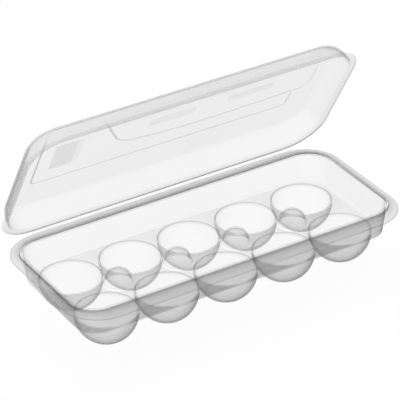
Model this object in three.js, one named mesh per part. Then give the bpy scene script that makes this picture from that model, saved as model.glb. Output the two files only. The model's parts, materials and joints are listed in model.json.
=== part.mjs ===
import * as THREE from 'three';

// ---------------------------------------------------------------- sizes, millimetres
const columns = 5;
const cup_r = 23.2;             // inside radius of a cup at the deck
const cup_wall = 1.0;
const cup_gap_x = 1.6;          // between neighbouring bowls along the length
const cup_gap_y = 4.0;          // between the two rows of bowls
const cup_depth = 22.5;           // deck underside to the lowest point of a bowl
const cup_foot_r = 8;           // flat foot under each bowl
const deck_t = 1.5;
const edge_x = 6.4;             // deck beyond the outermost cups, lengthwise
const edge_y = 2.1;             // deck beyond the outermost cups, across
const deck_corner_r = 17;
const wall_t = 1.2;
const wall_h = 18.2;            // side wall above the deck
const wall_draft = 2.5;         // how far the wall leans out over its height
const flange_end_w = 9;         // rim flange at the ends, from the wall's inside
const flange_side_w = 12.4;     // and along the long sides
const flange_corner_r = 30;
const flange_t = 1.2;
const lip_t = 2.6;
const lip_h = 2.7;
const pillar_clearance = 0.4;  // pillar foot to the nearest cup mouths
const pillar_h = 11.4;
const pillar_wall = 1.0;
const pillar_flare = 2.6;       // foot radius less dome radius
const pillar_foot_h = 2.2;
const seat_gap = 0.3;           // closed lid flange above tray flange
const lid_flange_w = 5.7;       // flange around the lid's opening
const join_gap = 0.3;           // between the lid's neighbouring pieces
const lid_h = 17.2;               // lid rim to the top panel
const lid_t = 1.2;
const lid_shoulder = 13.5;        // inset of the top panel from the lid rim
const film_t = 0.6;
const film_w = 1.6;             // flange edge to the hinge line
const film_end_inset = 31;
const lid_open = 58.5;            // degrees from closed, as it stands
const relief_h = 0.8;

// ---------------------------------------------------------------- worked-out sizes
const pitch_x = 2 * (cup_r + cup_wall) + cup_gap_x;
const pitch_y = 2 * (cup_r + cup_wall) + cup_gap_y;
const pillar_base_r = Math.hypot(pitch_x, pitch_y) / 2 - cup_r - pillar_clearance;
const cups_hx = pitch_x * (columns - 1) / 2 + cup_r;
const cups_hy = pitch_y / 2 + cup_r;
const deck_hx = cups_hx + edge_x;
const deck_hy = cups_hy + edge_y;
const rim_hx = deck_hx - wall_t + wall_draft;
const rim_hy = deck_hy - wall_t + wall_draft;
const rim_r = deck_corner_r - wall_t + wall_draft;
const flange_hx = rim_hx + flange_end_w;
const flange_hy = rim_hy + flange_side_w;
const deck_top = cup_depth + deck_t;
const wall_top = deck_top + wall_h;
const flange_top = wall_top + flange_t;
const lid_rim_z = flange_top + seat_gap;
const lid_in_x = flange_hx - lid_flange_w;
const lid_in_y = flange_hy - lid_flange_w;
const lid_in_r = flange_corner_r - lid_flange_w;
const hinge_y = flange_hy + film_w;
const hinge_z = flange_top + seat_gap / 2;

// ---------------------------------------------------------------- materials
function plastic(colour, opacity) {
  return new THREE.MeshStandardMaterial({
    color: colour, roughness: 0.32, metalness: 0, transparent: true, opacity,
  });
}

const object = new THREE.Group();

function add(name, geometry, colour = 0xe9eaea, opacity = 0.45) {
  const mesh = new THREE.Mesh(geometry, plastic(colour, opacity));
  mesh.name = name;
  object.add(mesh);
  return mesh;
}

// ---------------------------------------------------------------- shape helpers
const corner_steps = 5;

function rectPoints(hx, hy, r) {
  const points = [];
  const centres = [[hx - r, hy - r, 0], [r - hx, hy - r, 90], [r - hx, r - hy, 180], [hx - r, r - hy, 270]];
  for (const [cx, cy, start] of centres) {
    for (let k = 0; k <= corner_steps; k += 1) {
      const a = (start + 90 * k / corner_steps) * Math.PI / 180;
      points.push([cx + r * Math.cos(a), cy + r * Math.sin(a)]);
    }
  }
  return points;
}

// A closed section carried once round a rounded rectangle. Each corner of the
// section is [inset, z], or [inset at the ends, z, inset along the sides, corner
// radius], the insets moving it inwards from the named rectangle. The section
// runs anticlockwise seen with the outside of the ring to the right.
function ringBody(hx, hy, r, section) {
  const rings = section.map(([inset, z, side = inset, corner = r - inset]) => rectPoints(
    hx - inset, hy - side, Math.max(corner, 1.5),
  ).map(([x, y]) => [x, y, z]));
  const n = rings[0].length;
  const m = rings.length;
  const position = rings.flat(2);
  const index = [];
  for (let j = 0; j < m; j += 1) {
    const jj = (j + 1) % m;
    for (let i = 0; i < n; i += 1) {
      const ii = (i + 1) % n;
      index.push(j * n + i, j * n + ii, jj * n + ii, j * n + i, jj * n + ii, jj * n + i);
    }
  }
  const geometry = new THREE.BufferGeometry();
  geometry.setAttribute('position', new THREE.Float32BufferAttribute(position, 3));
  geometry.setIndex(index);
  geometry.computeVertexNormals();
  return geometry;
}

function outline(points) {
  const shape = new THREE.Shape();
  points.forEach(([x, y], i) => (i ? shape.lineTo(x, y) : shape.moveTo(x, y)));
  shape.closePath();
  return shape;
}

function slab(shape, z, thickness) {
  const geometry = new THREE.ExtrudeGeometry(shape, { depth: thickness, bevelEnabled: false, curveSegments: 10 });
  geometry.translate(0, 0, z);
  return geometry;
}

function lathe(profile, segments) {
  const points = profile.map(([r, z]) => new THREE.Vector2(r, z));
  const geometry = new THREE.LatheGeometry(points, segments);
  geometry.rotateX(Math.PI / 2);
  return geometry;
}

// ---------------------------------------------------------------- cups
const cup_segments = 20;
const cup_centres = [];
for (const [row, sign] of [['rear', 1], ['front', -1]]) {
  for (let i = 0; i < columns; i += 1) {
    cup_centres.push([`egg_cup_${row}_${i + 1}`, (i - (columns - 1) / 2) * pitch_x, sign * pitch_y / 2]);
  }
}

function bowlSide(r_top, z_low, foot_r, steps) {
  const side = [[foot_r, z_low]];
  const start = Math.asin(foot_r / r_top);
  for (let k = 1; k <= steps; k += 1) {
    const a = start + (Math.PI / 2 - start) * k / steps;
    const drop = Math.cos(a) / Math.cos(start);
    side.push([r_top * Math.sin(a), cup_depth - (cup_depth - z_low) * drop]);
  }
  return side;
}

const outer_side = bowlSide(cup_r + cup_wall, 0, cup_foot_r, 5);
const inner_side = bowlSide(cup_r, cup_wall, cup_foot_r - 0.4, 5);
const cup_profile = [[0, 0], ...outer_side, ...inner_side.reverse(), [0, cup_wall]];
for (const [name, x, y] of cup_centres) {
  const geometry = lathe(cup_profile, cup_segments);
  geometry.translate(x, y, 0);
  add(name, geometry, 0xf0f0ee, 0.4);
}

// ---------------------------------------------------------------- deck
const pillar_centres = [];
for (let i = 0; i < columns - 1; i += 1) {
  pillar_centres.push([`pillar_${i + 1}`, (i - (columns - 2) / 2) * pitch_x, 0]);
}
const deck_shape = outline(rectPoints(deck_hx, deck_hy, deck_corner_r));
for (const [, x, y] of cup_centres) {
  const hole = new THREE.Path();
  for (let k = 0; k < cup_segments; k += 1) {
    const a = -2 * Math.PI * k / cup_segments;
    const px = x + cup_r * Math.cos(a);
    const py = y + cup_r * Math.sin(a);
    if (k) {
      hole.lineTo(px, py);
    } else {
      hole.moveTo(px, py);
    }
  }
  hole.closePath();
  deck_shape.holes.push(hole);
}
add('tray_deck', slab(deck_shape, cup_depth, deck_t));

// ---------------------------------------------------------------- pillars
const dome_r = pillar_base_r - pillar_flare;
const dome_h = pillar_h - pillar_foot_h;
function pillarSide(offset) {
  const side = [[pillar_base_r - 0.1 - offset, 0], [dome_r + 0.6 - offset, pillar_foot_h * 0.6]];
  for (const degrees of [0, 25, 50, 72]) {
    const a = degrees * Math.PI / 180;
    side.push([(dome_r - offset) * Math.cos(a), pillar_foot_h + (dome_h - offset) * Math.sin(a)]);
  }
  side.push([0, pillar_h - offset]);
  return side;
}
const pillar_profile = [...pillarSide(pillar_wall).reverse(), ...pillarSide(0)];
for (const [name, x, y] of pillar_centres) {
  const geometry = lathe(pillar_profile, 16);
  geometry.translate(x, y, deck_top);
  add(name, geometry, 0xe4e5e6, 0.5);
}

// ---------------------------------------------------------------- tray wall, flange, lip
add('tray_wall', ringBody(rim_hx + wall_t, rim_hy + wall_t, rim_r + wall_t, [
  [wall_draft, deck_top],
  [wall_draft * 0.4, deck_top + wall_h * 0.5],
  [0, wall_top],
  [wall_t, wall_top],
  [wall_t + wall_draft * 0.4, deck_top + wall_h * 0.5],
  [wall_t + wall_draft, deck_top],
]), 0xdfe0e0, 0.5);
add('tray_flange', ringBody(flange_hx, flange_hy, flange_corner_r, [
  [0, wall_top - 1.0],
  [0, flange_top - 0.4],
  [0.4, flange_top],
  [flange_end_w, flange_top, flange_side_w, rim_r],
  [flange_end_w, wall_top, flange_side_w, rim_r],
  [1.4, wall_top],
  [1.2, wall_top - 1.0],
]), 0xe2e3e3, 0.5);
add('tray_lip', ringBody(rim_hx + lip_t, rim_hy + lip_t, rim_r + lip_t, [
  [0, flange_top],
  [0.2, flange_top + lip_h - 0.5],
  [0.7, flange_top + lip_h],
  [lip_t - 0.5, flange_top + lip_h],
  [lip_t, flange_top + lip_h - 0.5],
  [lip_t, flange_top],
]), 0xd9dadb, 0.55);

// ---------------------------------------------------------------- hinge film, in two leaves
const film_hx = flange_hx - film_end_inset;
const tray_leaf = new THREE.BoxGeometry(2 * film_hx, film_w - seat_gap / 2, film_t);
tray_leaf.translate(0, flange_hy + (film_w - seat_gap / 2) / 2, flange_top - 0.4 - film_t / 2);
add('tray_hinge_leaf', tray_leaf, 0xf4f4f4, 0.5);
const lid_leaf = new THREE.BoxGeometry(2 * film_hx, film_w - seat_gap / 2 - join_gap, film_t);
lid_leaf.translate(0, flange_hy + (film_w - seat_gap / 2 + join_gap) / 2, lid_rim_z + 0.4 + film_t / 2);

// ---------------------------------------------------------------- lid, drawn closed
const shoulder = [
  [0, 1.2 + join_gap],
  [1.6, 0.42 * lid_h],
  [3.6, 0.66 * lid_h],
  [6.6, 0.84 * lid_h],
  [10.4, 0.95 * lid_h],
  [lid_shoulder, lid_h],
];
const lid_section = [
  ...shoulder.map(([inset, z]) => [inset, lid_rim_z + z]),
  [lid_shoulder, lid_rim_z + lid_h - lid_t],
  ...[...shoulder].reverse().slice(1, -1).map(([inset, z]) => [inset + lid_t * 0.85, lid_rim_z + z - lid_t * 0.5]),
  [lid_t, lid_rim_z + 1.2 + join_gap],
];
const lid_wall = ringBody(lid_in_x + lid_t, lid_in_y + lid_t, lid_in_r + lid_t, lid_section);
const lid_flange = ringBody(flange_hx, flange_hy, flange_corner_r, [
  [0.3, lid_rim_z],
  [0, lid_rim_z + 0.4],
  [0, lid_rim_z + 1.2],
  [lid_flange_w, lid_rim_z + 1.2],
  [lid_flange_w, lid_rim_z],
]);
const top_hx = lid_in_x + lid_t - lid_shoulder - join_gap;
const top_hy = lid_in_y + lid_t - lid_shoulder - join_gap;
const top_r = Math.max(lid_in_r + lid_t - lid_shoulder - join_gap, 1.5);
const top_z = lid_rim_z + lid_h;
const lid_top = slab(outline(rectPoints(top_hx, top_hy, top_r)), top_z - lid_t, lid_t);

// raised blank panels on the lid's top
const crest_left = -0.49 * top_hx;
const crest_right = top_hx - 1.5;
const crest_rear = 0.12 * top_hy;
const panel_left = -0.9 * top_hx;
const panel_right = 0.88 * top_hx;
const panel_rear = 0.52 * top_hy;
const panel_front = 1.5 - top_hy;
const crest_panel = slab(outline([
  [crest_left + 6, panel_front], [crest_right - 4, panel_front], [crest_right, panel_front + 4],
  [crest_right, crest_rear - 6], [crest_right - 6, crest_rear], [crest_left + 8, crest_rear],
  [crest_left, crest_rear - 12], [crest_left, panel_front + 6],
]), top_z + join_gap, 2 * relief_h);
const label_panel = slab(outline([
  [panel_left + 4, panel_front], [crest_left - seat_gap, panel_front],
  [crest_left - seat_gap, crest_rear - 12 + seat_gap], [crest_left + 8 - seat_gap, crest_rear + seat_gap],
  [panel_right, crest_rear + seat_gap], [panel_right, panel_rear - 5], [panel_right - 5, panel_rear],
  [panel_left + 5, panel_rear], [panel_left, panel_rear - 5], [panel_left, panel_front + 4],
]), top_z + join_gap, relief_h);

// the lid stands open: every lid piece turns about the hinge line
const turn = new THREE.Matrix4().makeTranslation(0, hinge_y, hinge_z)
  .multiply(new THREE.Matrix4().makeRotationX(-lid_open * Math.PI / 180))
  .multiply(new THREE.Matrix4().makeTranslation(0, -hinge_y, -hinge_z));
const lid_pieces = [
  ['lid_wall', lid_wall, 0xd8d9da, 0.5],
  ['lid_flange', lid_flange, 0xe2e3e3, 0.5],
  ['lid_top_panel', lid_top, 0xe8e9e9, 0.45],
  ['lid_label_panel', label_panel, 0xececec, 0.45],
  ['lid_crest_panel', crest_panel, 0xe4e4e5, 0.45],
  ['lid_hinge_leaf', lid_leaf, 0xf4f4f4, 0.5],
];
for (const [name, geometry, colour, opacity] of lid_pieces) {
  geometry.applyMatrix4(turn);
  add(name, geometry, colour, opacity);
}

// ---------------------------------------------------------------- stand it on the origin
const box = new THREE.Box3().setFromObject(object);
const shift_y = -(box.min.y + box.max.y) / 2;
for (const mesh of object.children) {
  mesh.geometry.translate(0, shift_y, -box.min.z);
}

export default object;
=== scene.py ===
# %% [markdown]
# # A hinged egg box in clear plastic
# The object is a ten-egg storage box: one thin moulded skin for the tray, with
# its cups, pillars, wall, lip and flange, one for the shallow lid, and a film
# of the same plastic between them that folds as the hinge.
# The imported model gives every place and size. The two moulded skins are built
# here as single surfaces, because on the real box no seam shows between a cup
# and the deck round it, and clear plastic would show every hidden face.

import json
import math

import bmesh
import bpy
from mathutils import Matrix, Vector


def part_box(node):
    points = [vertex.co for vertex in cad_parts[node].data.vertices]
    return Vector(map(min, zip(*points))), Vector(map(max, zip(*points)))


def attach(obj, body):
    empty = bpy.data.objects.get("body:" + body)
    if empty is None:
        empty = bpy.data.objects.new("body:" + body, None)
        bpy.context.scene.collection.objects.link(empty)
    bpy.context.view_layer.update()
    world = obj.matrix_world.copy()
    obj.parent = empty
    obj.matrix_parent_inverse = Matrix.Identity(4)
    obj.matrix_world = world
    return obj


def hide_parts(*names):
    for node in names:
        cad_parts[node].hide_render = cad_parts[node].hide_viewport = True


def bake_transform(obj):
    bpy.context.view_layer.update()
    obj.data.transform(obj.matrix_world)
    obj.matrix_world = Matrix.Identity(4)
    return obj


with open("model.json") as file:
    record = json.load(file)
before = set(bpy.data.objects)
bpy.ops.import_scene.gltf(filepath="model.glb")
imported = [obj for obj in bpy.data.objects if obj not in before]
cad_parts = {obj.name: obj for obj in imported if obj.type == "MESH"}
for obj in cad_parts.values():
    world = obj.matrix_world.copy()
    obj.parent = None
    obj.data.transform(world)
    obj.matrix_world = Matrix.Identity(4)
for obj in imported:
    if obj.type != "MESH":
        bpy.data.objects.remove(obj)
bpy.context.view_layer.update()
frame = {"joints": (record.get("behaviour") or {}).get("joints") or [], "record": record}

# %% [markdown]
# ## Sizes from the model
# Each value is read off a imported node's box, so the skins land on the solids
# that they stand for. `MM` turns millimetres into Blender's metres.

# %% Read the places
MM = 0.001
SKIN = 1.0 * MM          # wall thickness of both mouldings


def half_size(node):
    low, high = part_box(node)
    return [(high[k] - low[k]) / 2 for k in range(3)]


def middle(node):
    low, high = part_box(node)
    return Vector([(high[k] + low[k]) / 2 for k in range(3)])


COLUMNS = 5
deck_low, deck_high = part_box("tray_deck")
deck_z = deck_high[2]
tray_y = middle("tray_deck").y
deck_hx, deck_hy = half_size("tray_deck")[:2]
lip_hx, lip_hy = half_size("tray_lip")[:2]
lip_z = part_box("tray_lip")[1][2]
flange_hx, flange_hy = half_size("tray_flange")[:2]
flange_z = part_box("tray_flange")[1][2]
cup_step_x = middle("egg_cup_rear_2").x - middle("egg_cup_rear_1").x
cup_step_y = middle("egg_cup_rear_1").y - middle("egg_cup_front_1").y
cup_r = half_size("egg_cup_rear_1")[0] - SKIN
pillar_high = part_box("pillar_1")[1][2]
hinge = next(j for j in frame["joints"] if j["name"] == "lid_hinge")
hinge_y, hinge_z = hinge["pos_m"][1:]
lid_open = math.radians(-hinge["range_deg"][0])
print("deck", round(deck_z, 4), "cup radius", round(cup_r, 4))
print("cup steps", round(cup_step_x, 4), round(cup_step_y, 4))
print("hinge line", hinge_y, hinge_z, "lid open", round(math.degrees(lid_open), 2))

# %% [markdown]
# ## Camera
# The camera looks down from the front left with a long lens, so the far end of
# the box is only a little smaller than the near end.

# %% Camera
AZIMUTH = math.radians(30.53)
ELEVATION = math.radians(30.56)
ROLL = math.radians(-1.60)
FOCAL = 232.0            # millimetres, on a 36 mm sensor
CAMERA_AT = Vector((-0.82298, -1.39134, 1.02138))

camera_data = bpy.data.cameras.new("camera")
camera_data.lens = FOCAL
camera_data.sensor_width = 36.0
camera_data.clip_end = 50.0
camera = bpy.data.objects.new("camera", camera_data)
bpy.context.scene.collection.objects.link(camera)
look = Vector((math.sin(AZIMUTH) * math.cos(ELEVATION),
               math.cos(AZIMUTH) * math.cos(ELEVATION), -math.sin(ELEVATION)))
across = look.cross(Vector((0, 0, 1))).normalized()
upward = across.cross(look)
right = across * math.cos(ROLL) + upward * math.sin(ROLL)
up = upward * math.cos(ROLL) - across * math.sin(ROLL)
turn = Matrix((right, up, -look)).transposed()
camera.matrix_world = Matrix.Translation(CAMERA_AT) @ turn.to_4x4()
bpy.context.scene.camera = camera
bpy.context.scene.view_settings.view_transform = "Standard"
bpy.context.scene.cycles.transparent_max_bounces = 64
print("camera", FOCAL, "mm lens,", round(CAMERA_AT.length, 2), "m away")

# %% [markdown]
# ## Writing shaders as sums
# A node tree is easier to read as arithmetic. `Wire` wraps one socket, and
# Python's own operators add the Math node that does the same thing, so a
# finish reads like a formula. Every other node comes from `Graph.node`.

# %% Wire
class Wire:
    def __init__(self, graph, socket):
        self.graph = graph
        self.socket = socket

    def join(self, operation, *others, clamp=False):
        made = self.graph.tree.nodes.new("ShaderNodeMath")
        made.operation = operation
        made.use_clamp = clamp
        for slot, value in zip(made.inputs, (self, *others)):
            self.graph.feed(slot, value)
        return Wire(self.graph, made.outputs[0])

    def __add__(self, other):
        return self.join("ADD", other)

    def __mul__(self, other):
        return self.join("MULTIPLY", other)

    def __sub__(self, other):
        return self.join("SUBTRACT", other)

    def __truediv__(self, other):
        return self.join("DIVIDE", other)

    def __pow__(self, other):
        return self.join("POWER", other)

    def __rsub__(self, other):
        return (self * -1.0) + other

    def __rtruediv__(self, other):
        return (self ** -1.0) * other

    __radd__ = __add__
    __rmul__ = __mul__

    def exp(self):
        return self.join("EXPONENT")

    def clamped(self):
        return self.join("ADD", 0.0, clamp=True)


# %% Graph
class Graph:
    def __init__(self, tree):
        self.tree = tree

    def feed(self, socket, value):
        if isinstance(value, Wire):
            self.tree.links.new(value.socket, socket)
        else:
            socket.default_value = value

    def node(self, kind, settings=None, values=None, out=0):
        made = self.tree.nodes.new(kind)
        for key, value in (settings or {}).items():
            setattr(made, key, value)
        for key, value in (values or {}).items():
            self.feed(made.inputs[key], value)
        return Wire(self, made.outputs[out]) if len(made.outputs) else None

    def blend(self, share, first, second):
        made = self.tree.nodes.new("ShaderNodeMix")
        made.data_type = "RGBA"
        colours = [s for s in made.inputs if s.type == "RGBA"]
        self.feed(made.inputs["Factor"], share)
        self.feed(colours[0], first)
        self.feed(colours[1], second)
        return Wire(self, next(s for s in made.outputs if s.type == "RGBA"))


# %% [markdown]
# ## Soft light
# The room is white above and behind and dimmer in front, as it is for goods
# shown on a light table, so skins that face down or forward come out greyer.
# The eye, reflections and the view through the plastic all find plain white.

# %% Light
ROOM_LEVEL = 0.52        # brightness of the room level with the box
ROOM_ABOVE = 0.40        # more of it towards the ceiling
ROOM_BEHIND = 0.34       # and towards the rear wall
SEEN_RAYS = ("Is Camera Ray", "Is Glossy Ray", "Is Transmission Ray")


def seen_directly(g):
    """1 for the rays that show the room itself: to the eye, by reflection or through glass."""
    kinds = [g.node("ShaderNodeLightPath", out=name) for name in SEEN_RAYS]
    return (kinds[0] + kinds[1] + kinds[2]).clamped()


world = bpy.data.worlds.new("room")
world.use_nodes = True
world.node_tree.nodes.clear()
g = Graph(world.node_tree)
direction = g.node("ShaderNodeTexCoord", out="Generated")
sky = g.node("ShaderNodeSeparateXYZ", values={"Vector": direction}, out="Z")
ahead = g.node("ShaderNodeSeparateXYZ", values={"Vector": direction}, out="Y")
level = (ROOM_LEVEL + sky * ROOM_ABOVE + ahead * ROOM_BEHIND).clamped()
BLACK, WHITE = (0, 0, 0, 1), (1, 1, 1, 1)
room = g.blend(seen_directly(g), g.blend(level, BLACK, WHITE), WHITE)
backdrop = g.node("ShaderNodeBackground", values={"Color": room})
g.node("ShaderNodeOutputWorld", values={"Surface": backdrop})
bpy.context.scene.world = world

lamp_data = bpy.data.lights.new("window", "AREA")
lamp_data.shape = "RECTANGLE"
lamp_data.size = 0.9
lamp_data.size_y = 0.6
lamp_data.energy = 5.0
lamp = bpy.data.objects.new("window", lamp_data)
lamp_at = Vector((0.25, 0.75, 1.15))
lamp_turn = lamp_at.to_track_quat("Z", "Y").to_matrix().to_4x4()
lamp.matrix_world = Matrix.Translation(lamp_at) @ lamp_turn
bpy.context.scene.collection.objects.link(lamp)
print("lamp", lamp_data.energy, "W at", tuple(round(v, 2) for v in lamp_at))

# %% [markdown]
# ## The plastic
# Clear polypropylene is never quite clear. It passes most light straight
# through, scatters a little as a pale haze, and looks darker wherever the eye
# looks along the skin instead of through it, because the path in the plastic
# is longer. That is one formula: the share stopped is 1 - exp(-k / cos), where
# cos is how squarely the skin is seen. Moulded edges hold more plastic, so an
# `edge` value painted on the mesh raises k there. Fine grain breaks the gloss,
# and a slow cloud stands for the uneven flow of the melt.
# Each face stops light only where it is met from its own side: `rear` is 1 for
# a ray that meets the face from behind, and the face is left out of it. So the
# two sides of the skin have finishes of their own. The inside is given a
# clearer, glossier finish than the outside. The outside's darker grey and the
# larger share of light it stops are painted shade, for the shadowed ground seen
# through the box. The tray's outside is painted darker still towards the front,
# also as painted shade. These are choices of look, not measured facts.

# %% Polypropylene
CLOUD_SCALE, CLOUD_SHARE = 22.0, 0.3
GRAIN_SCALE = 1600.0
MARK_STOP = 0.10         # what a frosted patch stops
SQUARE_LIMIT = 1.03      # keeps the path finite where the skin is seen edge on


def polypropylene(name, pale, deep, stop, edge_stop, rough, graze=0.45, front_shade_fall=None):
    material = bpy.data.materials.new(name)
    material.use_nodes = True
    tree = material.node_tree
    tree.nodes.clear()
    g = Graph(tree)
    place = g.node("ShaderNodeTexCoord", out="Object")
    edge = g.node("ShaderNodeAttribute", {"attribute_name": "edge"}, out="Fac")
    haze = g.node("ShaderNodeAttribute", {"attribute_name": "haze"}, out="Fac")
    mark = g.node("ShaderNodeAttribute", {"attribute_name": "mark"}, out="Fac")
    facing = g.node("ShaderNodeLayerWeight", values={"Blend": 0.5}, out="Facing")
    cloud = g.node("ShaderNodeTexNoise",
                   values={"Vector": place, "Scale": CLOUD_SCALE, "Detail": 2.0})
    grain = g.node("ShaderNodeTexNoise",
                   values={"Vector": place, "Scale": GRAIN_SCALE, "Detail": 1.0})
    squareness = SQUARE_LIMIT - facing
    share = haze
    # painted shade: in this form the share of light stopped, and so the grey, rises towards the
    # front (-Y) in place of the haze value
    if front_shade_fall is not None:
        level, fall = front_shade_fall
        along = g.node("ShaderNodeSeparateXYZ", values={"Vector": place}, out="Y")
        share = level - along * fall
    skin_stop = stop * (0.85 + cloud * CLOUD_SHARE) * share
    path = (skin_stop + edge * edge_stop + mark * MARK_STOP) / squareness
    rear = g.node("ShaderNodeNewGeometry", out="Backfacing")
    alpha = ((1.0 - (path * -1.0).exp() + (facing ** 5.0) * graze) * (1.0 - rear)).clamped()
    depth = ((facing ** 3.0) * 0.95 + edge * 0.7 + mark * 0.3).clamped()
    colour = g.blend(depth, pale, deep)
    bump = g.node("ShaderNodeBump",
                  values={"Strength": 0.08, "Distance": 0.2 * MM, "Height": grain})
    roughness = rough + grain * 0.12 + cloud * 0.06
    shader = tree.nodes.new("ShaderNodeBsdfPrincipled")
    shader.inputs["IOR"].default_value = 1.49
    g.feed(shader.inputs["Base Color"], colour)
    g.feed(shader.inputs["Roughness"], roughness)
    g.feed(shader.inputs["Alpha"], alpha)
    g.feed(shader.inputs["Normal"], bump)
    output = tree.nodes.new("ShaderNodeOutputMaterial")
    tree.links.new(shader.outputs[0], output.inputs["Surface"])
    print("finish", name)
    return material


tray_inside = polypropylene(
    "tray_inside", (0.42, 0.421, 0.424, 1), (0.07, 0.07, 0.072, 1),
    0.070, 0.40, 0.24, graze=0.22)
# painted shade: the tray's outside is darker grey and stops more light than its inside, and is
# also painted darker towards the front
tray_outside = polypropylene(
    "tray_outside", (0.28, 0.277, 0.273, 1), (0.07, 0.07, 0.072, 1),
    0.20, 0.05, 0.34, graze=0.30, front_shade_fall=(0.85, 16.0))
lid_inside = polypropylene(
    "lid_inside", (0.43, 0.432, 0.445, 1), (0.09, 0.09, 0.096, 1), 0.072, 0.30, 0.26)
# painted shade: the lid's outside is darker grey and stops more light than its inside, with no
# change towards the front
lid_outside = polypropylene(
    "lid_outside", (0.34, 0.342, 0.360, 1), (0.09, 0.09, 0.098, 1), 0.105, 0.22, 0.34,
    front_shade_fall=(1.0, 0.0))
# The film is painted near white, far paler than the other skins: a painted highlight along the
# thin fold.
film_highlight_finish = polypropylene(
    "film_polypropylene", (0.95, 0.95, 0.95, 1), (0.70, 0.70, 0.70, 1),
    0.10, 0.05, 0.34)

# %% [markdown]
# ## Mesh helpers
# A moulding like this is a stack of rounded rectangles: each ring of points
# has its own size, corner radius and height, and faces join one ring to the
# next. `edge` is stored per point, from 0 on a flat wall to 1 on a tight bend.

# %% Rings
CORNER_STEPS = 14


def rounded_ring(hx, hy, radius, z, centre_y=0.0):
    ring = []
    for sx, sy, start in ((1, 1, 0), (-1, 1, 90), (-1, -1, 180), (1, -1, 270)):
        for k in range(CORNER_STEPS + 1):
            a = math.radians(start + 90 * k / CORNER_STEPS)
            x = sx * (hx - radius) + radius * math.cos(a)
            y = sy * (hy - radius) + radius * math.sin(a)
            ring.append(Vector((x, y + centre_y, z)))
    return ring


def circle_ring(x, y, radius, z, count):
    return [Vector((x + radius * math.cos(2 * math.pi * k / count),
                    y + radius * math.sin(2 * math.pi * k / count), z)) for k in range(count)]


def paint_layers(bm):
    return bm.verts.layers.float.new("edge"), bm.verts.layers.float.new("haze")


def add_ring(bm, layers, points, edge=0.0, haze=1.0):
    verts = [bm.verts.new(p) for p in points]
    for v in verts:
        v[layers[0]] = edge
        v[layers[1]] = haze
    return verts


def bridge(bm, lower, upper):
    count = len(lower)
    for k in range(count):
        j = (k + 1) % count
        bm.faces.new((lower[k], lower[j], upper[j], upper[k]))


def loop_edges(bm, verts):
    edges = []
    for k, v in enumerate(verts):
        w = verts[(k + 1) % len(verts)]
        edges.append(bm.edges.get((v, w)) or bm.edges.new((v, w)))
    return edges


def mesh_object(bm, name):
    data = bpy.data.meshes.new(name)
    bm.to_mesh(data)
    bm.free()
    made = bpy.data.objects.new(name, data)
    bpy.context.scene.collection.objects.link(made)
    return made


print("rounded ring", 4 * (CORNER_STEPS + 1), "points")

# %% [markdown]
# ## One cup and one pillar
# The ten cups are one shape, and so are the four pillars, so each is drawn once
# about its own axis. A cup has a small rolled mouth, a bowl rounder than half
# a ball, and a flat foot to stand on. A pillar is a hollow dome, widest at its
# foot, that stands between four neighbouring cups.

# %% Cup and pillar patterns
CUP_SEGMENTS = 72
PILLAR_SEGMENTS = 48
MOUTH_ROLL = 0.4 * MM
FOOT_R = 8.0 * MM
cup_floor = SKIN - deck_z          # inside bottom, below the deck


def revolve(name, profile, count):
    bm = bmesh.new()
    layers = paint_layers(bm)
    rings = [add_ring(bm, layers, circle_ring(0, 0, r, z, count), e, h)
             for r, z, e, h in profile[:-1]]
    for lower, upper in zip(rings, rings[1:]):
        bridge(bm, lower, upper)
    r, z, e, h = profile[-1]
    tip = add_ring(bm, layers, [(0, 0, z)], e, h)[0]
    for k, v in enumerate(rings[-1]):
        bm.faces.new((v, rings[-1][(k + 1) % count], tip))
    return mesh_object(bm, name)


mouth_r = cup_r + MOUTH_ROLL
BOWL_HAZE = 1.0
WALL_HAZE = 1.35
DECK_HAZE = 1.3
# The flange's haze is set well above the wall's: partly the plastic's own haze, partly painted
# shade for the wall lying in shadow under the flange.
FLANGE_HAZE_AND_SHADE = 3.2
bowl_top = -1.2 * MM
bowl_r = cup_r - 0.45 * MM
# each row is radius, height from the deck, edge and haze
cup_profile = [(mouth_r, 0, 0.25, DECK_HAZE), (cup_r + 0.05 * MM, -0.12 * MM, 0.9, DECK_HAZE),
               (cup_r - 0.25 * MM, -0.5 * MM, 1.0, 1.5), (bowl_r, bowl_top, 0.25, 1.2)]
bowl_start = math.asin(FOOT_R / bowl_r)
BOWL_STEPS = 14
for k in range(1, BOWL_STEPS + 1):
    a = math.pi / 2 - (math.pi / 2 - bowl_start) * k / BOWL_STEPS
    drop = math.cos(a) / math.cos(bowl_start)
    bowl_z = bowl_top + (cup_floor - bowl_top) * drop
    cup_profile.append((bowl_r * math.sin(a), bowl_z, 0.0, BOWL_HAZE))
cup_profile += [(FOOT_R * 0.55, cup_floor, 0.0, BOWL_HAZE), (0, cup_floor, 0.0, BOWL_HAZE)]
cup_pattern = revolve("cup_pattern", cup_profile, CUP_SEGMENTS)

pillar_h = pillar_high - deck_z
pillar_r = math.hypot(cup_step_x, cup_step_y) / 2 - mouth_r - 0.25 * MM
# radius and height in millimetres, from the foot to the crown, then edge and haze
PILLAR_SHAPE = (
    (12.4, 0.0, 0.2, 1.2), (11.7, 0.1, 0.0, 0.5), (11.2, 0.5, 0.05, 0.6),
    (11.0, 1.2, 0.1, 1.3), (10.7, 2.6, 0.0, 1.3), (10.35, 4.2, 0.0, 1.3),
    (9.9, 5.8, 0.0, 1.3), (9.1, 7.4, 0.0, 1.3), (7.9, 8.9, 0.0, 1.3),
    (6.2, 10.1, 0.0, 1.3), (4.2, 10.9, 0.0, 1.3), (2.1, 11.3, 0.0, 1.3),
    (0.0, 11.4, 0.0, 1.3))
foot_r, crown_z = PILLAR_SHAPE[0][0], PILLAR_SHAPE[-1][1]
pillar_profile = [(r * pillar_r / foot_r, z * pillar_h / crown_z, e, h)
                  for r, z, e, h in PILLAR_SHAPE]
pillar_pattern = revolve("pillar_pattern", pillar_profile, PILLAR_SEGMENTS)
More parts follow.
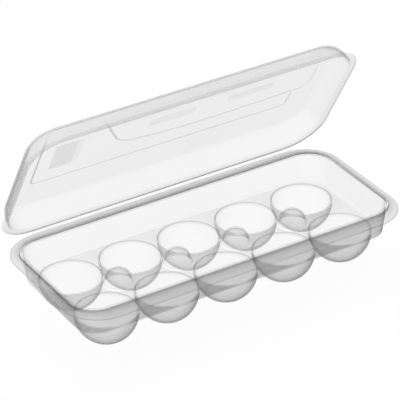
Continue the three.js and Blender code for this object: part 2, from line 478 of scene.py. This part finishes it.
print("cup rings", len(cup_profile), "pillar radius", round(pillar_r, 4))

# %% [markdown]
# ## The wall, lip and flange
# The wall rises from the deck with a slight lean, turns over in a bead for the
# lip that the lid closes round, and runs out to the flange with its
# turned-down rim.

# %% Wall, lip and flange
bm = bmesh.new()
layers = paint_layers(bm)
wall_in_x, wall_in_y = deck_hx - 1.2 * MM, deck_hy - 1.2 * MM
top_in_x, top_in_y = lip_hx - 2.6 * MM, lip_hy - 2.6 * MM
deck_r = 15.8 * MM
top_r = 18.3 * MM
flange_r = 30.0 * MM
wall_rise = flange_z - deck_z
# each row is half length, half width, corner radius, height and edge
tray_sections = [
    (wall_in_x - 0.5 * MM, wall_in_y - 0.5 * MM, deck_r - 0.5 * MM, deck_z, 0.0),
    (wall_in_x - 0.1 * MM, wall_in_y - 0.1 * MM, deck_r - 0.1 * MM, deck_z + 0.15 * MM, 0.0),
    (wall_in_x + 0.1 * MM, wall_in_y + 0.1 * MM, deck_r + 0.1 * MM, deck_z + 0.8 * MM, 0.0)]
for share in (0.3, 0.65, 0.92):
    tray_sections.append((
        wall_in_x + (top_in_x - wall_in_x) * share, wall_in_y + (top_in_y - wall_in_y) * share,
        deck_r + (top_r - deck_r) * share, deck_z + wall_rise * share, 0.0))
tray_sections += [
    (top_in_x, top_in_y, top_r, flange_z + 0.2 * MM, 0.0),
    (top_in_x, top_in_y, top_r, lip_z - 0.8 * MM, 0.15),
    (top_in_x + 0.25 * MM, top_in_y + 0.25 * MM, top_r + 0.25 * MM, lip_z - 0.2 * MM, 0.35),
    (top_in_x + 0.8 * MM, top_in_y + 0.8 * MM, top_r + 0.8 * MM, lip_z, 0.1),
    (lip_hx - 0.8 * MM, lip_hy - 0.8 * MM, top_r + 1.8 * MM, lip_z, 0.1),
    (lip_hx - 0.2 * MM, lip_hy - 0.2 * MM, top_r + 2.4 * MM, lip_z - 0.25 * MM, 0.3),
    (lip_hx, lip_hy, top_r + 2.6 * MM, lip_z - 0.9 * MM, 1.2),
    (lip_hx + 0.05 * MM, lip_hy + 0.05 * MM, top_r + 2.65 * MM, flange_z + 0.5 * MM, 1.2),
    (lip_hx + 0.5 * MM, lip_hy + 0.5 * MM, top_r + 3.1 * MM, flange_z, 0.4),
    (flange_hx - 1.2 * MM, flange_hy - 1.2 * MM, flange_r - 1.2 * MM, flange_z, 0.0),
    (flange_hx - 0.3 * MM, flange_hy - 0.3 * MM, flange_r - 0.3 * MM, flange_z - 0.25 * MM, 0.3),
    (flange_hx, flange_hy, flange_r, flange_z - 0.6 * MM, 0.35),
    (flange_hx, flange_hy, flange_r, flange_z - 1.0 * MM, 0.3)]
rings = []
for k, (hx, hy, r, z, e) in enumerate(tray_sections):
    haze = FLANGE_HAZE_AND_SHADE if hx > lip_hx + 0.2 * MM else WALL_HAZE
    rings.append(add_ring(bm, layers, rounded_ring(hx, hy, r, z, tray_y), e,
                          haze if k else DECK_HAZE))
for lower, upper in zip(rings, rings[1:]):
    bridge(bm, lower, upper)
print("wall, lip and flange", len(rings), "rings")

# %% [markdown]
# ## The deck
# The deck is a flat sheet with ten round mouths and four pillar feet left
# open. Blender's triangle fill closes a flat outline with holes.

# %% Deck
edges = loop_edges(bm, rings[0])
for row in (-1, 1):
    for i in range(COLUMNS):
        x = (i - (COLUMNS - 1) / 2) * cup_step_x
        y = tray_y + row * cup_step_y / 2
        hole = circle_ring(x, y, mouth_r, deck_z, CUP_SEGMENTS)
        edges += loop_edges(bm, add_ring(bm, layers, hole, 0.25, DECK_HAZE))
for i in range(COLUMNS - 1):
    x = (i - (COLUMNS - 2) / 2) * cup_step_x
    hole = circle_ring(x, tray_y, pillar_r, deck_z, PILLAR_SEGMENTS)
    edges += loop_edges(bm, add_ring(bm, layers, hole, 0.2, 1.2))
bmesh.ops.triangle_fill(bm, use_beauty=True, use_dissolve=False, edges=edges,
                        normal=(0, 0, 1))
deck = mesh_object(bm, "tray_skin")
print("deck and wall", len(deck.data.polygons), "faces")

# %% [markdown]
# ## Setting out the cups with Geometry Nodes
# A grid of points carries the cups and a line of points carries the pillars.
# The tree copies each pattern to its points, joins the copies to the deck and
# welds the touching rims, so the tray becomes one skin with no hidden faces.

# %% Layout tree
WELD = 0.01 * MM         # points nearer than this become one


def layout_tree():
    tree = bpy.data.node_groups.new("tray_layout", "GeometryNodeTree")
    face = tree.interface
    face.new_socket("Geometry", in_out="INPUT", socket_type="NodeSocketGeometry")
    for name, kind in (("Cup", "NodeSocketObject"), ("Pillar", "NodeSocketObject"),
                       ("Finish", "NodeSocketMaterial"), ("Columns", "NodeSocketInt"),
                       ("Step X", "NodeSocketFloat"), ("Step Y", "NodeSocketFloat"),
                       ("Centre", "NodeSocketVector")):
        face.new_socket(name, in_out="INPUT", socket_type=kind)
    face.new_socket("Geometry", in_out="OUTPUT", socket_type="NodeSocketGeometry")
    g = Graph(tree)
    start = tree.nodes.new("NodeGroupInput")
    given = {s.name: Wire(g, s) for s in start.outputs}
    grid = g.node("GeometryNodeMeshGrid", values={
        "Size X": given["Step X"] * (given["Columns"] - 1.0), "Size Y": given["Step Y"],
        "Vertices X": given["Columns"], "Vertices Y": 2}, out="Mesh")
    line = g.node("GeometryNodeMeshGrid", values={
        "Size X": given["Step X"] * (given["Columns"] - 2.0), "Size Y": 0.0,
        "Vertices X": given["Columns"] - 1.0, "Vertices Y": 2}, out="Mesh")
    line = g.node("GeometryNodeMergeByDistance", values={"Geometry": line, "Distance": WELD})
    parts = [given["Geometry"]]
    for points, pattern in ((grid, "Cup"), (line, "Pillar")):
        placed = g.node("GeometryNodeSetPosition",
                        values={"Geometry": points, "Offset": given["Centre"]})
        shape = g.node("GeometryNodeObjectInfo", values={"Object": given[pattern]},
                       out="Geometry")
        parts.append(g.node("GeometryNodeInstanceOnPoints",
                            values={"Points": placed, "Instance": shape}))
    join = tree.nodes.new("GeometryNodeJoinGeometry")
    for part in reversed(parts):
        tree.links.new(part.socket, join.inputs[0])
    solid = g.node("GeometryNodeRealizeInstances",
                   values={"Geometry": Wire(g, join.outputs[0])})
    welded = g.node("GeometryNodeMergeByDistance",
                    values={"Geometry": solid, "Distance": WELD})
    done = g.node("GeometryNodeSetMaterial",
                  values={"Geometry": welded, "Material": given["Finish"]})
    finish = tree.nodes.new("NodeGroupOutput")
    tree.links.new(done.socket, finish.inputs[0])
    return tree


def settle(piece, modifier):
    """Makes the modifier's result the piece's own mesh."""
    bpy.context.view_layer.update()
    graph = bpy.context.evaluated_depsgraph_get()
    result = bpy.data.meshes.new_from_object(
        piece.evaluated_get(graph), preserve_all_data_layers=True, depsgraph=graph)
    piece.modifiers.remove(modifier)
    piece.data = result


def apply_tree(target, tree, **inputs):
    modifier = target.modifiers.new("layout", "NODES")
    modifier.node_group = tree
    for item in tree.interface.items_tree:
        key = item.name.replace(" ", "_")
        if item.in_out == "INPUT" and key in inputs:
            modifier[item.identifier] = inputs[key]
    settle(target, modifier)


apply_tree(deck, layout_tree(), Cup=cup_pattern, Pillar=pillar_pattern, Finish=tray_inside,
           Columns=COLUMNS, Step_X=cup_step_x, Step_Y=cup_step_y,
           Centre=(0.0, tray_y, deck_z))
for pattern in (cup_pattern, pillar_pattern):
    bpy.data.objects.remove(pattern)
print("tray skin", len(deck.data.polygons), "faces")

# %% [markdown]
# ## Giving the skin its thickness
# The surface so far is the inside and top of the moulding. Solidify adds the
# outside one wall thickness away, and closes the rim of the flange.

# %% Thickness
SHARP = math.radians(50)


def set_normals(piece, probe):
    """Turns all faces one way round: the one nearest probe's point faces its direction."""
    bm = bmesh.new()
    bm.from_mesh(piece.data)
    bmesh.ops.recalc_face_normals(bm, faces=bm.faces)
    bm.faces.ensure_lookup_table()
    point, direction = probe
    nearest = min(bm.faces, key=lambda f: (f.calc_center_median() - point).length)
    if nearest.normal.dot(direction) < 0:
        bmesh.ops.reverse_faces(bm, faces=bm.faces)
    bm.to_mesh(piece.data)
    bm.free()


def thicken(piece, thickness, outside, even=True):
    piece.data.materials.append(outside)
    modifier = piece.modifiers.new("thickness", "SOLIDIFY")
    modifier.material_offset = 1
    modifier.thickness = thickness
    modifier.offset = -1.0
    modifier.use_even_offset = even
    settle(piece, modifier)
    bm = bmesh.new()
    bm.from_mesh(piece.data)
    bmesh.ops.recalc_face_normals(bm, faces=bm.faces)
    bm.to_mesh(piece.data)
    bm.free()
    piece.data.polygons.foreach_set("use_smooth", [True] * len(piece.data.polygons))
    piece.data.set_sharp_from_angle(angle=SHARP)
    print(piece.name, len(piece.data.polygons), "faces")


set_normals(deck, (Vector((0, tray_y + 12 * MM, deck_z)), Vector((0, 0, 1))))
thicken(deck, SKIN, tray_outside)

# %% [markdown]
# ## The lid
# The lid is drawn shut, about its own middle, and then turned to where it
# stands. Its wall leans in and rolls over in a soft shoulder to a flat top.
# The top carries two low blank panels. They are a height field: a distance
# function gives how far a point is inside a panel, and a smooth step over the
# panel's outline makes the raised edge. Sizes here are in millimetres from the
# middle of the lid.

# %% Lid outline and relief
LID_SHUT_GAP = 0.3 * MM
lid_base = flange_z + LID_SHUT_GAP
lid_top_in = 16.1 * MM
lid_in_x, lid_in_y, lid_in_r = flange_hx - 5.7 * MM, flange_hy - 5.7 * MM, 24.3 * MM
LID_SECTION = (                    # inset, height, edge
    (0.0, 0.9, 0.15), (0.3, 2.6, 0.0), (0.65, 4.6, 0.0), (1.15, 6.7, 0.0),
    (1.85, 8.8, 0.0), (2.8, 10.8, 0.0), (4.0, 12.5, 0.0), (5.5, 14.0, 0.0),
    (7.3, 15.2, 0.0), (9.2, 15.9, 0.0), (11.1, 16.1, 0.0))
LABEL_HIGH, CREST_HIGH = 0.7, 1.3
STEP_HALF = 0.9                    # half the width of a panel's raised edge


def smooth(value, low, high):
    t = min(max((value - low) / (high - low), 0.0), 1.0)
    return t * t * (3 - 2 * t)


def round_meet(a, b, radius):
    """Distance to the part inside both outlines a and b, with the corner between them rounded."""
    return min(-radius, max(a, b)) + math.hypot(max(radius + a, 0), max(radius + b, 0))


def label_distance(x, y):
    ends = round_meet(-112.5 - x, x - 106.5, 4.0)
    return round_meet(ends, y - 23.2, 5.0)


def crest_distance(x, y):
    bow = 5.9 * ((27 - x) / 67) ** 2 if x < 27 else 3.3 * ((x - 27) / 90) ** 2
    slant = ((y + 28.5) * 12.4 - (x + 60.0) * 22.4) / 25.6
    return round_meet(round_meet(slant, x - 120.5, 4.0), y - 7.2 + bow, 7.0)


def block(x, y, centre_x, centre_y, half_long, half_wide):
    """Distance to a rectangle's outline, below 0 inside it."""
    return max(abs(x - centre_x) - half_long, abs(y - centre_y) - half_wide)


def frosted(x, y):
    """How frosted a point is by the square patch, and by the strip and two bars."""
    square = block(x, y, -91.0, -6.5, 9.5, 15.5)
    strip = block(x, y, -79.3, -7.5, 2.0, 14.5)
    bars = min(block(x, y, -1.5, -12.0, 19.5, 4.2), block(x, y, 65.5, -12.8, 19.5, 4.2))
    return (1.0 - smooth(square, -0.6, 0.6),
            0.35 * (1 - smooth(strip, -0.6, 0.6)) + 0.45 * (1 - smooth(bars, -0.8, 0.8)))


def relief(x, y):
    """Height in millimetres, edge and mark at a point of the lid's top."""
    label, crest = label_distance(x, y), crest_distance(x, y)
    in_crest = 1 - smooth(crest, -STEP_HALF, STEP_HALF)
    in_label = 1 - smooth(label, -STEP_HALF, STEP_HALF)
    height = max(LABEL_HIGH * in_label, CREST_HIGH * in_crest)
    edge = max((1 - abs(label) / STEP_HALF) * (1 - in_crest),
               1 - abs(crest) / STEP_HALF, 0.0)
    square, other = frosted(x, y)
    fade = smooth(y, -46.5, -16.0)
    return height * fade, edge * fade, max(square * 0.8, other)


print("relief in the crest panel", [round(v, 3) for v in relief(50.0, -5.0)])

# %% Build the lid
LID_COUNT_X, LID_COUNT_Y = 196, 110
bm = bmesh.new()
layers = paint_layers(bm)
mark_layer = bm.verts.layers.float.new("mark")
lid_sections = [
    (flange_hx, flange_hy, flange_r, 0.35, 0.1),
    (flange_hx - 0.3 * MM, flange_hy - 0.3 * MM, flange_r - 0.3 * MM, 0.0, 0.1),
    (lid_in_x + 1.0 * MM, lid_in_y + 1.0 * MM, lid_in_r + 1.0 * MM, 0.0, 0.0),
    (lid_in_x + 0.3 * MM, lid_in_y + 0.3 * MM, lid_in_r + 0.3 * MM, 0.25, 0.35)]
for inset, height, edge in LID_SECTION:
    lid_sections.append((lid_in_x - inset * MM, lid_in_y - inset * MM, lid_in_r - inset * MM,
                         height, edge))
clear_rings = (0, 1, len(lid_sections) - 1)
rings = [add_ring(bm, layers, rounded_ring(hx, hy, r, z * MM), e,
                  1.0 if k in clear_rings else 1.6)
         for k, (hx, hy, r, z, e) in enumerate(lid_sections)]
for lower, upper in zip(rings, rings[1:]):
    bridge(bm, lower, upper)

margin = LID_SECTION[-1][0] + 0.8
half_x, half_y, bend = (v / MM - margin for v in (lid_in_x, lid_in_y, lid_in_r))
count_x, count_y = LID_COUNT_X, LID_COUNT_Y
grid = []
for j in range(count_y + 1):
    row = []
    for i in range(count_x + 1):
        y = half_y * (2 * j / count_y - 1)
        past = max(abs(y) - (half_y - bend), 0.0)
        row_half = half_x - bend + math.sqrt(max(bend * bend - past * past, 0.0))
        x = row_half * (2 * i / count_x - 1)
        height, edge, mark = relief(x, y)
        v = bm.verts.new((x * MM, y * MM, lid_top_in + height * MM))
        v[layers[0]] = edge
        v[layers[1]] = 1.0
        v[mark_layer] = mark
        row.append(v)
    grid.append(row)
for j in range(count_y):
    for i in range(count_x):
        bm.faces.new((grid[j][i], grid[j][i + 1], grid[j + 1][i + 1], grid[j + 1][i]))
border = ([grid[0][i] for i in range(count_x)]
          + [grid[j][count_x] for j in range(count_y)]
          + [grid[count_y][i] for i in range(count_x, 0, -1)]
          + [grid[j][0] for j in range(count_y, 0, -1)])
bmesh.ops.triangle_fill(bm, use_beauty=True, use_dissolve=False,
                        edges=loop_edges(bm, rings[-1]) + loop_edges(bm, border), normal=(0, 0, 1))
lid = mesh_object(bm, "lid_skin")
lid.data.materials.append(lid_inside)
set_normals(lid, (Vector((0, 30 * MM, lid_top_in)), Vector((0, 0, -1))))
thicken(lid, SKIN, lid_outside, even=False)


def stand_open(piece):
    """Moves a piece drawn about the shut lid's middle to where the open lid stands."""
    shut = Matrix.Translation((0, tray_y, lid_base))
    pivot = Vector((0, hinge_y, hinge_z))
    swing = Matrix.Rotation(-lid_open, 4, "X")
    piece.data.transform(Matrix.Translation(pivot) @ swing @ Matrix.Translation(-pivot) @ shut)


stand_open(lid)

# %% [markdown]
# ## The hinge film
# The film runs from the tray's flange out to the fold line and back to the
# lid's flange.

# %% Hinge film
FILM_THICK = 0.35 * MM
FILM_STEPS = 8
film_hx = half_size("tray_hinge_leaf")[0]
fold = Vector((hinge_y, hinge_z))
tray_end = Vector((tray_y + flange_hy - 0.1 * MM, flange_z - 0.7 * MM))
shut_end = Vector((tray_y + flange_hy - 0.1 * MM, lid_base + 0.7 * MM)) - fold
c, s = math.cos(-lid_open), math.sin(-lid_open)
lid_end = fold + Vector((shut_end.x * c - shut_end.y * s, shut_end.x * s + shut_end.y * c))
bm = bmesh.new()
layers = paint_layers(bm)
path = []
for k in range(FILM_STEPS + 1):
    t = k / FILM_STEPS
    path.append(tray_end * (1 - t) ** 2 + fold * 2 * t * (1 - t) + lid_end * t ** 2)
rows = []
for point in path:
    across_film = [(x, point.x, point.y) for x in (-film_hx, -film_hx / 3, film_hx / 3, film_hx)]
    rows.append(add_ring(bm, layers, across_film, 0.0, 1.0))
for a, b in zip(rows, rows[1:]):
    for i in range(3):
        bm.faces.new((a[i], a[i + 1], b[i + 1], b[i]))
film = mesh_object(bm, "hinge_film")
film.data.materials.append(film_highlight_finish)
thicken(film, FILM_THICK, film_highlight_finish)

# %% [markdown]
# ## Joining the pieces to the frame
# Each skin stands for the solids of its moulding and rides on that body. The
# solids stay behind for weight and contact, and are hidden in the picture.

# %% Ride and replace
body_nodes = frame["record"]["behaviour"]["bodies"]
tray_nodes = [n for n in body_nodes["tray"] if n != "tray_hinge_leaf"]
lid_nodes = [n for n in body_nodes["lid"] if n != "lid_hinge_leaf"]
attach(deck, "tray")
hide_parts(*tray_nodes)
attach(lid, "lid")
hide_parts(*lid_nodes)
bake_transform(film)
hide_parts("tray_hinge_leaf", "lid_hinge_leaf")
print("tray stands for", len(tray_nodes), "solids, lid for", len(lid_nodes))

# %% [markdown]
# ## The floor
# A plain white floor under the feet keeps the soft shadow.

# %% Floor
FLOOR_GLOW = 0.93        # share of the floor's white that is plain light
bm = bmesh.new()
bmesh.ops.create_grid(bm, x_segments=1, y_segments=1, size=6.0)
floor = mesh_object(bm, "floor")
floor_finish = bpy.data.materials.new("floor_white")
floor_finish.use_nodes = True
floor_finish.node_tree.nodes.clear()
g = Graph(floor_finish.node_tree)
direct = seen_directly(g)
paint = g.blend(direct, (0.62, 0.62, 0.62, 1), WHITE)
matt = g.node("ShaderNodeBsdfDiffuse", values={"Color": paint})
glow = g.node("ShaderNodeEmission", values={"Color": WHITE, "Strength": 1.0})
both = g.node("ShaderNodeMixShader", values={0: direct * FLOOR_GLOW, 1: matt, 2: glow})
g.node("ShaderNodeOutputMaterial", values={"Surface": both})
floor.data.materials.append(floor_finish)
print("floor", tuple(round(v, 1) for v in floor.dimensions))
